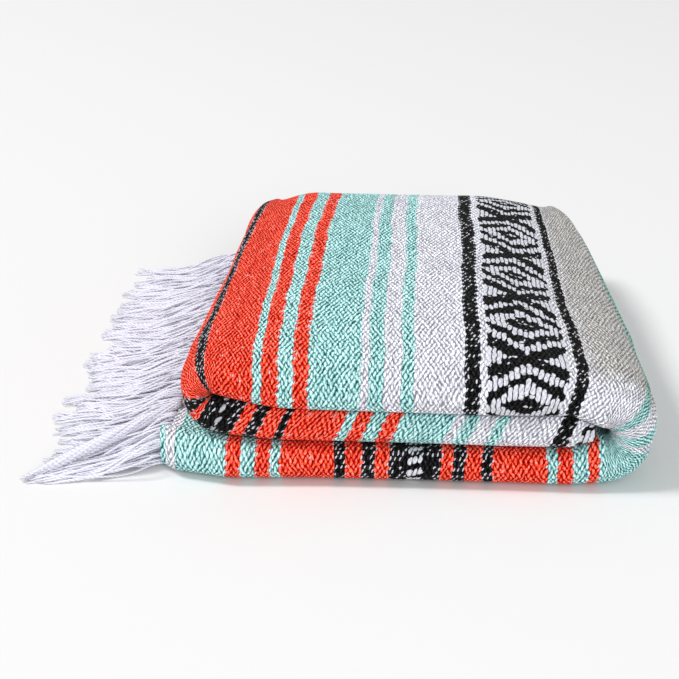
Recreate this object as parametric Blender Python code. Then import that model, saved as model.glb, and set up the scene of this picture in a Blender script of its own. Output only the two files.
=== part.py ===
"""A striped, fringed blanket serape, folded into a square stack.

The cloth lies folded end to end, then twice across its width, into a long
ribbon of eight plies. The ribbon is wound up as a flat spiral: a bottom run,
round the right end, back over the top, round the left end, and in between the
two as the middle run. Both hems, with their fringe, lie at the bottom left.

Metres, +Z up. +X runs along the warp, away from the fringe, and the stripes
run along Y, with the closed folds at the front, -Y. The origin is on the
floor, under the middle of the stack.
"""

import math

import bmesh
import bpy
import numpy as np

# Cut of the cloth.
BLANKET_WIDTH = 1.27
CLOTH = 0.0028
SEAM_GAP = 0.0004
BAND_GAP = 0.0012
CORE_CLEARANCE = 0.0009

# The stack. A quarter of the width is a little deeper than the puffed stack.
PUFF = 0.0025
HALF_DEPTH = (BLANKET_WIDTH / 4 - PUFF) / 2
BAND = 0.0245
CREST_HEIGHT = 0.093
LEFT_HEIGHT = 0.083
HEM_X = -0.157
LEFT_CENTRE_X = -0.124
LEFT_BULGE = 0.024
RIGHT_CENTRE_X = 0.121
RIGHT_BULGE = 0.036
INNER_END_X = 0.114
EYE_START_X = 0.096
EYE_REACH = 0.028
EYE_OPENING = 0.30
CREST_RIGHT_X = 0.035
CREST_LEFT_X = -0.070
RETURN_DEPTH = 0.006
BACK_POWER = 3.4

# Where one stretch of the cloth hands over to the next, on its straight runs.
RIGHT_SEAM_X = 0.100
LEFT_SEAM_X = -0.108

# How the folds settle: a crease pinched up at the front left corner, the
# layers a little looser at the back, both ends drawn in towards the back, and
# the left end leaning in towards its top.
PINCH_X = -0.150
PINCH_REACH = 0.075
PINCH_LIFT = 0.011
BACK_LIFT = 0.007
DRAWN_FROM_X = 0.080
RIGHT_DRAWN_IN = 0.029
LEFT_DRAWN_IN = 0.017
LEFT_LEAN = 0.007

# The section of one band at places along the ribbon. tip is how far above
# its inner face the front edge stands furthest out, tuck how far the edge
# rolls back in under that, nose the depth that the rounding takes, with its
# two exponents, and back_drop and back_roll the fall to the back edge.
BAND_SECTIONS = [
    # place            tip     tuck    nose    n     m    back_drop  back_roll
    ("hem",           0.0120, 0.0070, 0.018, 2.00, 2.00, 0.0000, 0.060),
    ("right_start",   0.0120, 0.0070, 0.018, 2.00, 2.00, 0.0000, 0.060),
    ("right_middle",  0.0130, 0.0090, 0.034, 2.00, 2.00, 0.0060, 0.070),
    ("top_start",     0.0120, 0.0080, 0.060, 2.10, 2.00, 0.0140, 0.100),
    ("crest_start",   0.0080, 0.0065, 0.150, 3.30, 2.00, 0.0260, 0.140),
    ("crest_end",     0.0080, 0.0065, 0.150, 3.30, 2.00, 0.0260, 0.140),
    ("left_start",    0.0090, 0.0060, 0.085, 2.60, 2.00, 0.0190, 0.120),
    ("left_middle",   0.0110, 0.0060, 0.030, 2.00, 2.00, 0.0060, 0.070),
    ("middle_start",  0.0120, 0.0070, 0.018, 2.00, 2.00, 0.0000, 0.060),
    ("middle_end",    0.0120, 0.0070, 0.018, 2.00, 2.00, 0.0000, 0.060),
]

# The front edge is not straight: how far each of the three bands stands
# forward of the rest, at places along the front.
FRONT_WAVE = [
    # x       bottom   middle   top
    (-0.160, -0.0090, -0.0030, -0.0100),
    (-0.148,  0.0010, -0.0025, -0.0080),
    (-0.115,  0.0080, -0.0010, -0.0040),
    (-0.060,  0.0050, -0.0005,  0.0000),
    ( 0.000,  0.0040, -0.0010,  0.0010),
    ( 0.060,  0.0035,  0.0000,  0.0015),
    ( 0.110,  0.0040, -0.0020,  0.0000),
    ( 0.160,  0.0020, -0.0010, -0.0020),
]

# The fringe, from the front corner to the back one.
FRINGE_ROWS = [
    # root_y   tip_y    tip_x
    (-0.150, -0.172, -0.243),
    (-0.100, -0.118, -0.241),
    (-0.050, -0.056, -0.237),
    ( 0.000,  0.000, -0.231),
    ( 0.050,  0.055, -0.234),
    ( 0.100,  0.105, -0.236),
    ( 0.150,  0.157, -0.233),
]

# Heights of each layer of fringe at its root, where it meets the floor, and
# at its tips.
FRINGE_LAYERS = [
    # name            root_low  root_high  bend_low  bend_high  tip_low  tip_high
    ("fringe_lower",  0.0000,   0.0100,    0.0000,   0.0070,    0.0000,  0.0035),
    ("fringe_upper",  0.0104,   0.0210,    0.0074,   0.0150,    0.0039,  0.0080),
]
FRINGE_BEND = 0.40

# Corners of each part's shape, kept few.
CROWN_STEPS = 9
NOSE_STEPS = 7
TUCK_STEPS = 4
UNDERSIDE_STEPS = 5
SPINE_SAMPLES = 160

# Colour, roughness and metallic value of each part's yarn.
FINISHES = {
    "bottom_panel": ((0.63, 0.06, 0.04), 0.90, 0.0),
    "right_fold": ((0.34, 0.58, 0.55), 0.90, 0.0),
    "top_panel": ((0.66, 0.67, 0.75), 0.90, 0.0),
    "left_fold": ((0.60, 0.08, 0.05), 0.90, 0.0),
    "middle_panel": ((0.03, 0.03, 0.03), 0.90, 0.0),
    "inner_layers": ((0.40, 0.46, 0.46), 0.95, 0.0),
    "fringe_lower": ((0.66, 0.67, 0.76), 0.85, 0.0),
    "fringe_upper": ((0.70, 0.71, 0.80), 0.85, 0.0),
}


def smooth(value):
    """Ease from 0 to 1 as value goes from 0 to 1."""
    value = np.clip(value, 0.0, 1.0)
    return value * value * (3.0 - 2.0 * value)


def straight(start, end, z_of_x, samples=SPINE_SAMPLES):
    """Points of a run of the ribbon between two places along X."""
    x = np.linspace(start, end, samples)
    return np.stack([x, z_of_x(x)], axis=1)


def half_turn(centre, bulge, rise, start_angle, samples=SPINE_SAMPLES):
    """Points of half an ellipse, counterclockwise from start_angle."""
    angle = np.linspace(start_angle, start_angle + math.pi, samples)
    x = centre[0] + bulge * np.cos(angle)
    z = centre[1] + rise * np.sin(angle)
    return np.stack([x, z], axis=1)


def top_height(x):
    """Height of the stack along the middle of its depth."""
    right_of_crest = (x - CREST_RIGHT_X) / (RIGHT_CENTRE_X - CREST_RIGHT_X)
    left_of_crest = (CREST_LEFT_X - x) / (CREST_LEFT_X - LEFT_CENTRE_X)
    right_fall = (CREST_HEIGHT - 3 * BAND) * smooth(right_of_crest)
    left_fall = (CREST_HEIGHT - LEFT_HEIGHT) * smooth(left_of_crest)
    return CREST_HEIGHT - right_fall - left_fall


def pinched(x):
    """Share of the middle band's thickness left where the eye closes on it."""
    return 1.0 - (1.0 - EYE_OPENING) * smooth((x - EYE_START_X) / EYE_REACH)


def build_ribbon():
    """Outer and inner faces of the ribbon, point for point, in the XZ plane."""
    low = BAND - BAND_GAP / 2
    high = BAND + BAND_GAP / 2
    ceiling = 2 * BAND - BAND_GAP / 2
    sill = 2 * BAND + BAND_GAP / 2
    turn = 1.5 * BAND
    left_z = (LEFT_HEIGHT + high) / 2
    middle_z = 1.5 * BAND

    def narrowed(face):
        return lambda x: middle_z + (face - middle_z) * pinched(x)

    eye = (turn - low) * float(pinched(RIGHT_CENTRE_X))

    outer = [
        straight(HEM_X, RIGHT_CENTRE_X, lambda x: 0 * x),
        half_turn((RIGHT_CENTRE_X, turn), RIGHT_BULGE, turn, -math.pi / 2),
        straight(RIGHT_CENTRE_X, LEFT_CENTRE_X, top_height),
        half_turn((LEFT_CENTRE_X, left_z), LEFT_BULGE, LEFT_HEIGHT - left_z, math.pi / 2),
        straight(LEFT_CENTRE_X, INNER_END_X, narrowed(high)),
    ]
    inner = [
        straight(HEM_X, RIGHT_CENTRE_X, narrowed(low)),
        half_turn((RIGHT_CENTRE_X, turn), eye, eye, -math.pi / 2),
        straight(RIGHT_CENTRE_X, LEFT_CENTRE_X, narrowed(sill)),
        half_turn((LEFT_CENTRE_X, 2 * BAND), BAND_GAP / 2, BAND_GAP / 2, math.pi / 2),
        straight(LEFT_CENTRE_X, INNER_END_X, narrowed(ceiling)),
    ]
    ends = np.cumsum([len(run) for run in outer])
    outer = np.concatenate(outer)
    inner = np.concatenate(inner)
    steps = np.linalg.norm(np.diff(outer, axis=0), axis=1)
    along = np.concatenate([[0.0], np.cumsum(steps)])
    return {"outer": outer, "inner": inner, "along": along, "ends": ends}


RIBBON = build_ribbon()


def ribbon_place(run, x):
    """Distance along the ribbon of the point at x on a straight run."""
    start = 0 if run == 0 else RIBBON["ends"][run - 1]
    end = RIBBON["ends"][run]
    run_x = RIBBON["outer"][start:end, 0]
    run_along = RIBBON["along"][start:end]
    order = np.argsort(run_x)
    return float(np.interp(x, run_x[order], run_along[order]))


def turn_middle(run):
    """Distance along the ribbon of the middle of a turn."""
    start = RIBBON["ends"][run - 1]
    end = RIBBON["ends"][run] - 1
    return float((RIBBON["along"][start] + RIBBON["along"][end]) / 2)


PLACES = {
    "hem": 0.0,
    "right_start": ribbon_place(0, RIGHT_CENTRE_X),
    "right_middle": turn_middle(1),
    "top_start": ribbon_place(2, RIGHT_CENTRE_X),
    "crest_start": ribbon_place(2, CREST_RIGHT_X),
    "crest_end": ribbon_place(2, CREST_LEFT_X),
    "left_start": ribbon_place(2, LEFT_CENTRE_X),
    "left_middle": turn_middle(3),
    "middle_start": ribbon_place(4, LEFT_CENTRE_X),
    "middle_end": ribbon_place(4, INNER_END_X),
}


def band_values(place):
    """The band's section sizes at a distance along the ribbon."""
    known = [PLACES[row[0]] for row in BAND_SECTIONS]
    columns = zip(*[row[1:] for row in BAND_SECTIONS])
    return [float(np.interp(place, known, column)) for column in columns]


def ribbon_faces(place):
    """The outer and inner face of the ribbon at a distance along it."""
    along = RIBBON["along"]
    faces = []
    for side in ("outer", "inner"):
        points = RIBBON[side]
        x = np.interp(place, along, points[:, 0])
        z = np.interp(place, along, points[:, 1])
        faces.append(np.array([x, z]))
    return faces


def band_outline(place, thickness):
    """Outer line of a band's section, back edge first, as (y, depth) pairs.

    depth runs from the band's outer face inwards. The line crosses the crown,
    rolls over the front edge and tucks back in under it.
    """
    tip, tuck, nose, n, m, back_drop, back_roll = band_values(place)
    full = BAND - BAND_GAP
    tip = tip * min(1.0, thickness / full)
    front = -HALF_DEPTH
    drop = thickness - tip
    points = []
    for y in np.linspace(HALF_DEPTH, front + nose, CROWN_STEPS):
        into_roll = max(0.0, (y - (HALF_DEPTH - back_roll)) / back_roll)
        points.append((y, back_drop * into_roll ** BACK_POWER))
    for step in range(1, NOSE_STEPS + 1):
        angle = math.pi / 2 * step / NOSE_STEPS
        into_nose = math.sin(angle) ** (2 / n)
        depth = drop * (1 - max(0.0, math.cos(angle)) ** (2 / m))
        points.append((front + nose * (1 - into_nose), depth))
    for step in range(1, TUCK_STEPS + 1):
        angle = math.pi / 2 * step / TUCK_STEPS
        points.append((front + tuck * (1 - math.cos(angle)), drop + tip * math.sin(angle)))
    points.append((front + tuck + RETURN_DEPTH, thickness))
    return np.array(points)


def inset(line, distance):
    """The same line moved into the band by a distance, point for point."""
    run = np.gradient(line, axis=0)
    run[0] = line[1] - line[0]
    run[-1] = line[-1] - line[-2]
    run = run / np.linalg.norm(run, axis=1)[:, None]
    inward = np.stack([run[:, 1], -run[:, 0]], axis=1)
    return line + inward * distance


def table_column(rows, column, x):
    """A value from a table whose first column is x."""
    return np.interp(x, [row[0] for row in rows], [row[column] for row in rows])


def settle(point):
    """Move a point of the neat stack to where the soft folds settle."""
    x, y, z = point
    near_front = smooth(1 - (y + HALF_DEPTH) / 0.10)
    near_pinch = smooth(1 - abs(x - PINCH_X) / PINCH_REACH)
    crease = 2 * BAND
    below = smooth(z / crease)
    above = smooth((LEFT_HEIGHT - z) / (LEFT_HEIGHT - crease))
    towards_back = smooth((y + 0.04) / HALF_DEPTH)
    within = math.sin(math.pi * min(max(z / CREST_HEIGHT, 0.0), 1.0))
    lift = PINCH_LIFT * near_front * near_pinch * min(below, above)
    lift += BACK_LIFT * towards_back * within

    bottom, middle, top = (table_column(FRONT_WAVE, column, x) for column in (1, 2, 3))
    band_heights = [0.0, 0.5 * BAND, 1.5 * BAND, 2.5 * BAND, CREST_HEIGHT]
    wave = np.interp(z, band_heights, [bottom, bottom, middle, top, top])
    at_front = smooth(1 - (y + HALF_DEPTH) / 0.06)

    depth_share = (y + HALF_DEPTH) / (2 * HALF_DEPTH)
    drawn = min(max(depth_share, 0.0), 1.0) ** 1.3
    right_share = smooth((x - DRAWN_FROM_X) / (RIGHT_CENTRE_X + RIGHT_BULGE - DRAWN_FROM_X))
    left_share = smooth((-x - DRAWN_FROM_X) / (-HEM_X - DRAWN_FROM_X))
    shift = (LEFT_DRAWN_IN * left_share - RIGHT_DRAWN_IN * right_share) * drawn
    lean = LEFT_LEAN * left_share * smooth((z - BAND) / (LEFT_HEIGHT - BAND))
    return (x + shift + lean, y - wave * at_front, z + lift)


def place_section(place, line):
    """Points in space of a section's (y, depth) line."""
    outer, inner = ribbon_faces(place)
    thickness = float(np.linalg.norm(inner - outer))
    towards = (inner - outer) / thickness
    points = []
    for y, depth in line:
        x, z = outer + towards * depth
        points.append(settle((x, y, z)))
    return points


def band_thickness(place):
    outer, inner = ribbon_faces(place)
    return float(np.linalg.norm(inner - outer))


def wall_section(place):
    """A closed loop round the cloth's wall: its outer line, then its inner."""
    outline = band_outline(place, band_thickness(place))
    inner_line = inset(outline, CLOTH)
    return place_section(place, outline), place_section(place, inner_line)


def layered_back(outer_depth, inner_depth, thickness):
    """The back of the hidden plies: three cut selvedges and a bundled fold."""
    ply = (inner_depth - outer_depth) / 7
    groove = 0.35 * ply
    points = []
    depth = inner_depth
    bundle = 4 * ply
    for step in range(5):
        angle = math.pi * step / 4
        y = HALF_DEPTH - 0.0025 - 2 * groove * (1 - math.sin(angle))
        points.append((y, depth - bundle * (1 - math.cos(angle)) / 2))
    depth -= bundle
    for selvedge in range(3):
        points.append((HALF_DEPTH - 0.0010 * selvedge, depth - 0.35 * ply))
        points.append((HALF_DEPTH - 0.0010 * selvedge, depth - 0.75 * ply))
        if selvedge < 2:
            points.append((HALF_DEPTH - 2.5 * groove, depth - ply))
        depth -= ply
    return points


def core_section(place):
    """A closed loop round the hidden plies of a band."""
    thickness = band_thickness(place)
    outline = band_outline(place, thickness)
    outer_line = inset(outline, CLOTH + CORE_CLEARANCE)
    inner_depth = thickness - CLOTH - CORE_CLEARANCE
    front_line = [point for point in outer_line[1:-1]]
    last_y = front_line[-1][0]
    underside = []
    for y in np.linspace(last_y, HALF_DEPTH - 0.004, UNDERSIDE_STEPS + 1)[1:]:
        underside.append((y, inner_depth))
    back = layered_back(outer_line[0][1], inner_depth, thickness)
    line = np.array(front_line + underside + back)
    line[:, 1] = np.minimum(line[:, 1], inner_depth)
    return place_section(place, line)


def spaced(start, end, steps):
    """Evenly spaced places, without the last one."""
    return list(np.linspace(start, end, steps, endpoint=False))


def run_places(run, *stretches):
    """Places on a straight run, from (start_x, end_x, steps) stretches."""
    places = []
    for start_x, end_x, steps in stretches:
        places.extend(ribbon_place(run, x) for x in spaced(start_x, end_x, steps))
    return places


def new_part(name, mesh_data):
    """Link a bmesh as a named object with its own material."""
    bmesh.ops.recalc_face_normals(mesh_data, faces=mesh_data.faces)
    mesh = bpy.data.meshes.new(name)
    mesh_data.to_mesh(mesh)
    mesh_data.free()
    mesh.shade_smooth()
    mesh.set_sharp_from_angle(angle=math.radians(50))
    colour, roughness, metallic = FINISHES[name]
    material = bpy.data.materials.new(name + "_yarn")
    material.use_nodes = True
    shader = material.node_tree.nodes["Principled BSDF"]
    shader.inputs["Base Color"].default_value = (*colour, 1.0)
    shader.inputs["Roughness"].default_value = roughness
    shader.inputs["Metallic"].default_value = metallic
    mesh.materials.append(material)
    part = bpy.data.objects.new(name, mesh)
    PARTS.objects.link(part)
    return part


def loft_wall(name, places):
    """A cloth wall lofted through its sections."""
    mesh_data = bmesh.new()
    rings = []
    for place in places:
        outer, inner = wall_section(place)
        ring = [mesh_data.verts.new(point) for point in outer + inner[::-1]]
        rings.append(ring)
    count = len(rings[0])
    for ring, following in zip(rings, rings[1:]):
        for corner in range(count):
            beside = (corner + 1) % count
            mesh_data.faces.new((ring[corner], ring[beside], following[beside], following[corner]))
    for ring in (rings[0], rings[-1]):
        for corner in range(count // 2 - 1):
            across = count - 1 - corner
            mesh_data.faces.new((ring[corner], ring[corner + 1], ring[across - 1], ring[across]))
    return new_part(name, mesh_data)


def loft_solid(name, sections):
    """A solid lofted through closed loops of points, with flat ends."""
    mesh_data = bmesh.new()
    rings = [[mesh_data.verts.new(point) for point in section] for section in sections]
    count = len(rings[0])
    for ring, following in zip(rings, rings[1:]):
        for corner in range(count):
            beside = (corner + 1) % count
            mesh_data.faces.new((ring[corner], ring[beside], following[beside], following[corner]))
    mesh_data.faces.new(rings[0])
    mesh_data.faces.new(rings[-1])
    return new_part(name, mesh_data)


def build_fringe(name, root_low, root_high, bend_low, bend_high, tip_low, tip_high):
    """A plain wedge of the reach that one layer of fringe covers."""
    sections = []
    for root_y, tip_y, tip_x in FRINGE_ROWS:
        depth_share = (root_y + HALF_DEPTH) / (2 * HALF_DEPTH)
        root_x = HEM_X - SEAM_GAP + LEFT_DRAWN_IN * depth_share ** 1.3
        bend_x = root_x + FRINGE_BEND * (tip_x - root_x)
        bend_y = root_y + FRINGE_BEND * (tip_y - root_y)
        sections.append([
            (root_x, root_y, root_low),
            (bend_x, bend_y, bend_low),
            (tip_x, tip_y, tip_low),
            (tip_x, tip_y, tip_high),
            (bend_x, bend_y, bend_high),
            (root_x, root_y, root_high),
        ])
    return loft_solid(name, sections)


def clear_scene():
    for old in list(bpy.data.objects):
        bpy.data.objects.remove(old, do_unlink=True)


clear_scene()
PARTS = bpy.data.collections.new("folded_serape")
bpy.context.scene.collection.children.link(PARTS)

BOTTOM_RUN, TOP_RUN, MIDDLE_RUN = 0, 2, 4
LEFT_RUN_OUT = (LEFT_SEAM_X, LEFT_CENTRE_X, 2)
RIGHT_RUN_OUT = (RIGHT_SEAM_X, RIGHT_CENTRE_X, 3)
RIGHT_RUN_IN = (RIGHT_CENTRE_X, RIGHT_SEAM_X, 3)
LEFT_RUN_IN = (LEFT_CENTRE_X, LEFT_SEAM_X, 2)
LONG_RUN = (LEFT_SEAM_X, RIGHT_SEAM_X, 12)
LONG_RUN_BACK = (RIGHT_SEAM_X, LEFT_SEAM_X, 12)
HEM_RUN = (HEM_X, LEFT_CENTRE_X, 3)
INNER_RUN_OUT = (RIGHT_SEAM_X, INNER_END_X, 2)

right_seam_low = ribbon_place(BOTTOM_RUN, RIGHT_SEAM_X)
right_seam_high = ribbon_place(TOP_RUN, RIGHT_SEAM_X)
left_seam_high = ribbon_place(TOP_RUN, LEFT_SEAM_X)
left_seam_low = ribbon_place(MIDDLE_RUN, LEFT_SEAM_X)

bottom_places = run_places(BOTTOM_RUN, HEM_RUN, LEFT_RUN_IN, LONG_RUN)
right_places = (
    run_places(BOTTOM_RUN, RIGHT_RUN_OUT)
    + spaced(PLACES["right_start"], PLACES["top_start"], 10)
    + run_places(TOP_RUN, RIGHT_RUN_IN)
)
top_places = run_places(TOP_RUN, LONG_RUN_BACK)
left_places = (
    run_places(TOP_RUN, LEFT_RUN_OUT)
    + spaced(PLACES["left_start"], PLACES["middle_start"], 9)
    + run_places(MIDDLE_RUN, LEFT_RUN_IN)
)
middle_places = run_places(MIDDLE_RUN, LONG_RUN, INNER_RUN_OUT)

loft_wall("bottom_panel", bottom_places + [right_seam_low - SEAM_GAP])
loft_wall("right_fold", right_places + [right_seam_high - SEAM_GAP])
loft_wall("top_panel", top_places + [left_seam_high - SEAM_GAP])
loft_wall("left_fold", left_places + [left_seam_low - SEAM_GAP])
loft_wall("middle_panel", middle_places + [PLACES["middle_end"]])

ply_places = bottom_places + right_places + top_places + left_places + middle_places
ply_places[0] += CLOTH
loft_solid("inner_layers", [core_section(place) for place in ply_places])

for layer in FRINGE_LAYERS:
    build_fringe(*layer)
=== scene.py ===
# %% [markdown]
# # A folded, fringed serape
# A serape of this kind is a thick, weft-faced blanket: soft coloured weft yarns are beaten
# down so hard over a thin white warp that they hide it, and the warp ends hang out as a
# fringe. This one is folded end to end, twice across its width, and wound up into a flat
# stack. The lesson makes the surface of the cloth, its stripes and figures and its fringe,
# around solids that already have the right size and place.

import math

import bmesh
import bpy
import numpy as np
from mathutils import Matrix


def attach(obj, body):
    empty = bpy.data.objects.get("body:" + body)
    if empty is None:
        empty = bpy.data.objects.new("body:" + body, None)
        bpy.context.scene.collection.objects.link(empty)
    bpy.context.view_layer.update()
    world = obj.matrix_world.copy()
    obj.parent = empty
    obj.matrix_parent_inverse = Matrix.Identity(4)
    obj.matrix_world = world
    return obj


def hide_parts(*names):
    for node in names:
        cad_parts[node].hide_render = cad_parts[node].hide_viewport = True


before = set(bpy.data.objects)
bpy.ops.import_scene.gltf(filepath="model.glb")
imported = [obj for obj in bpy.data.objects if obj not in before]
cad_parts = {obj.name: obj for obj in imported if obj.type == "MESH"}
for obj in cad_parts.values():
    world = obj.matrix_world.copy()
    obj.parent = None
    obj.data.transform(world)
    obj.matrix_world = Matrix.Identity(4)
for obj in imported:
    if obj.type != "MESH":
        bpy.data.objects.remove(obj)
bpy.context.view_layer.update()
print("nodes:", sorted(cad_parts))

# %% [markdown]
# ## Camera
# The camera comes first, because it decides how much detail each side needs. It stands low
# in front of the stack and looks a little down on it, through a long lens, so the sides of
# the stack run nearly parallel.

# %% Camera
CAMERA_PLACE = (0.0018, -0.9164, 0.4851)
CAMERA_DOWN = math.radians(26.796)
CAMERA_TURN = math.radians(3.356)
SENSOR = 36.0
LENS = 75.52


def add_object(name, data):
    made = bpy.data.objects.new(name, data)
    bpy.context.scene.collection.objects.link(made)
    return made


def add_camera():
    data = bpy.data.cameras.new("camera")
    data.sensor_width = SENSOR
    data.lens = LENS
    camera = add_object("camera", data)
    camera.location = CAMERA_PLACE
    camera.rotation_euler = (math.pi / 2 - CAMERA_DOWN, 0.0, CAMERA_TURN)
    bpy.context.scene.camera = camera


add_camera()

# %% [markdown]
# ## Floor and light
# The stack lies on a seamless pale table in a white studio. One large soft light high up
# at the left and a little behind gives the weave its small shadows, a wide weak one from
# the front keeps the folds readable, and the pale world fills the rest.

# %% Floor, lights and world
FLOOR_SIZE = 6.0
FLOOR_COLOUR = (0.80, 0.80, 0.80, 1.0)
WORLD_COLOUR = (1.0, 1.0, 1.0, 1.0)
WORLD_STRENGTH = 0.48

LIGHTS = [
    # name     place                 aims at            size   watts
    ("key",   (-4.10, -0.30, 5.40), (0.0, 0.0, 0.05),   1.75, 275.0),
    ("front", (1.60, -5.70, 3.50),  (0.0, 0.0, 0.04),   4.30, 225.0),
]


def feed(tree, node, inputs):
    """Link sockets to a node's inputs, or set the inputs to plain values."""
    for label, value in inputs.items():
        if hasattr(value, "is_linked"):
            tree.links.new(value, node.inputs[label])
        else:
            node.inputs[label].default_value = value


def new_material(name):
    """A material, its tree and its shader."""
    material = bpy.data.materials.new(name)
    material.use_nodes = True
    return material, material.node_tree, material.node_tree.nodes["Principled BSDF"]


def mesh_of(name, mesh_data):
    """The mesh that a bmesh describes, which is freed."""
    mesh = bpy.data.meshes.new(name)
    mesh_data.to_mesh(mesh)
    mesh_data.free()
    return mesh


def add_floor():
    mesh_data = bmesh.new()
    bmesh.ops.create_grid(mesh_data, x_segments=1, y_segments=1, size=FLOOR_SIZE / 2)
    mesh = mesh_of("floor", mesh_data)
    material, tree, shader = new_material("pale_table")
    feed(tree, shader, {"Base Color": FLOOR_COLOUR, "Roughness": 0.9, "Specular IOR Level": 0.1})
    mesh.materials.append(material)
    add_object("floor", mesh)


def add_light(name, place, target, size, watts):
    data = bpy.data.lights.new(name, "AREA")
    data.shape = "DISK"
    data.size = size
    data.energy = watts
    light = add_object(name, data)
    light.location = place
    aim = [t - p for t, p in zip(target, place)]
    turn = math.atan2(aim[1], aim[0]) - math.pi / 2
    tilt = math.atan2(math.hypot(aim[0], aim[1]), -aim[2])
    light.rotation_euler = (tilt, 0.0, turn)


def add_world():
    world = bpy.data.worlds.new("studio")
    world.use_nodes = True
    background = world.node_tree.nodes["Background"]
    feed(world.node_tree, background, {"Color": WORLD_COLOUR, "Strength": WORLD_STRENGTH})
    bpy.context.scene.world = world


add_floor()
add_world()
for row in LIGHTS:
    add_light(*row)
bpy.context.scene.view_settings.view_transform = "Standard"

# %% [markdown]
# ## The path of the folded ribbon
# Folded lengthwise, the blanket is a ribbon of eight plies, and that ribbon is wound in a
# flat spiral: bottom run, round the right end, back over the top, round the left end, and
# in between as the middle run. Two curves side by side describe it: the outer face and the
# inner face of the ribbon, in the plane of X and Z. These are the sizes the solids were
# made from, so the cloth made here lies on them.

# %% Sizes of the stack
CLOTH = 0.0024
BAND = 0.0245
BAND_GAP = 0.0012
BLANKET_WIDTH = 1.27
PUFF = 0.0025
HALF_DEPTH = (BLANKET_WIDTH / 4 - PUFF) / 2
CREST_HEIGHT = 0.093
LEFT_HEIGHT = 0.083
HEM_X = -0.157
LEFT_CENTRE_X = -0.124
LEFT_BULGE = 0.024
RIGHT_CENTRE_X = 0.121
RIGHT_BULGE = 0.036
INNER_END_X = 0.114
EYE_START_X = 0.096
EYE_REACH = 0.028
EYE_OPENING = 0.30
CREST_RIGHT_X = 0.035
CREST_LEFT_X = -0.070
RETURN_DEPTH = 0.006
BACK_POWER = 3.4
RIGHT_SEAM_X = 0.100
LEFT_SEAM_X = -0.108
BOTTOM, RIGHT, TOP, LEFT, MIDDLE = range(5)


def smooth(value):
    """Ease from 0 to 1 as value goes from 0 to 1."""
    value = np.clip(value, 0.0, 1.0)
    return value * value * (3.0 - 2.0 * value)


def pinched(x):
    """Share of the middle band's thickness left where the eye closes on it."""
    return 1.0 - (1.0 - EYE_OPENING) * smooth((x - EYE_START_X) / EYE_REACH)


def top_height(x):
    right_of_crest = (x - CREST_RIGHT_X) / (RIGHT_CENTRE_X - CREST_RIGHT_X)
    left_of_crest = (CREST_LEFT_X - x) / (CREST_LEFT_X - LEFT_CENTRE_X)
    right_fall = (CREST_HEIGHT - 3 * BAND) * smooth(right_of_crest)
    return CREST_HEIGHT - right_fall - (CREST_HEIGHT - LEFT_HEIGHT) * smooth(left_of_crest)


def straight(start, end, z_of_x, samples=240):
    x = np.linspace(start, end, samples)
    return np.stack([x, z_of_x(x)], axis=1)


def half_turn(centre, bulge, rise, start_angle, samples=240):
    angle = np.linspace(start_angle, start_angle + math.pi, samples)
    return np.stack([centre[0] + bulge * np.cos(angle), centre[1] + rise * np.sin(angle)], axis=1)


# %% The two faces of the ribbon
def build_ribbon():
    low, high = BAND - BAND_GAP / 2, BAND + BAND_GAP / 2
    ceiling, sill = 2 * BAND - BAND_GAP / 2, 2 * BAND + BAND_GAP / 2
    turn = 1.5 * BAND
    left_z = (LEFT_HEIGHT + high) / 2

    def narrowed(face):
        return lambda x: turn + (face - turn) * pinched(x)

    eye = (turn - low) * float(pinched(RIGHT_CENTRE_X))
    outer = [
        straight(HEM_X, RIGHT_CENTRE_X, lambda x: 0 * x),
        half_turn((RIGHT_CENTRE_X, turn), RIGHT_BULGE, turn, -math.pi / 2),
        straight(RIGHT_CENTRE_X, LEFT_CENTRE_X, top_height),
        half_turn((LEFT_CENTRE_X, left_z), LEFT_BULGE, LEFT_HEIGHT - left_z, math.pi / 2),
        straight(LEFT_CENTRE_X, INNER_END_X, narrowed(high)),
    ]
    inner = [
        straight(HEM_X, RIGHT_CENTRE_X, narrowed(low)),
        half_turn((RIGHT_CENTRE_X, turn), eye, eye, -math.pi / 2),
        straight(RIGHT_CENTRE_X, LEFT_CENTRE_X, narrowed(sill)),
        half_turn((LEFT_CENTRE_X, 2 * BAND), BAND_GAP / 2, BAND_GAP / 2, math.pi / 2),
        straight(LEFT_CENTRE_X, INNER_END_X, narrowed(ceiling)),
    ]
    ends = np.cumsum([len(run) for run in outer])
    outer, inner = np.concatenate(outer), np.concatenate(inner)
    steps = np.linalg.norm(np.diff(outer, axis=0), axis=1)
    return {"outer": outer, "inner": inner, "along": np.concatenate([[0], np.cumsum(steps)]), "ends": ends}


RIBBON = build_ribbon()


def run_span(run):
    """Distances along the ribbon at which a run starts and ends."""
    start = 0 if run == BOTTOM else RIBBON["ends"][run - 1]
    return RIBBON["along"][start], RIBBON["along"][RIBBON["ends"][run] - 1]


def place_at(run, x):
    """Distance along the ribbon of the point at x on a straight run."""
    start = 0 if run == BOTTOM else RIBBON["ends"][run - 1]
    run_x = RIBBON["outer"][start:RIBBON["ends"][run], 0]
    run_along = RIBBON["along"][start:RIBBON["ends"][run]]
    order = np.argsort(run_x)
    return float(np.interp(x, run_x[order], run_along[order]))


def place_on_turn(run, share):
    """Distance along the ribbon at a share of the way round a turn."""
    start, end = run_span(run)
    return start + share * (end - start)


print("length of the ribbon:", round(float(RIBBON["along"][-1]), 4), "m")

# %% [markdown]
# ## The section of a band
# Cut across, each band of the spiral is a flat pack with a soft rounded front, where the
# plies fold over, that tucks in under itself. How round it is changes on the way: tight on
# the bottom and middle runs, long and sloping over the crest of the stack.

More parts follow.
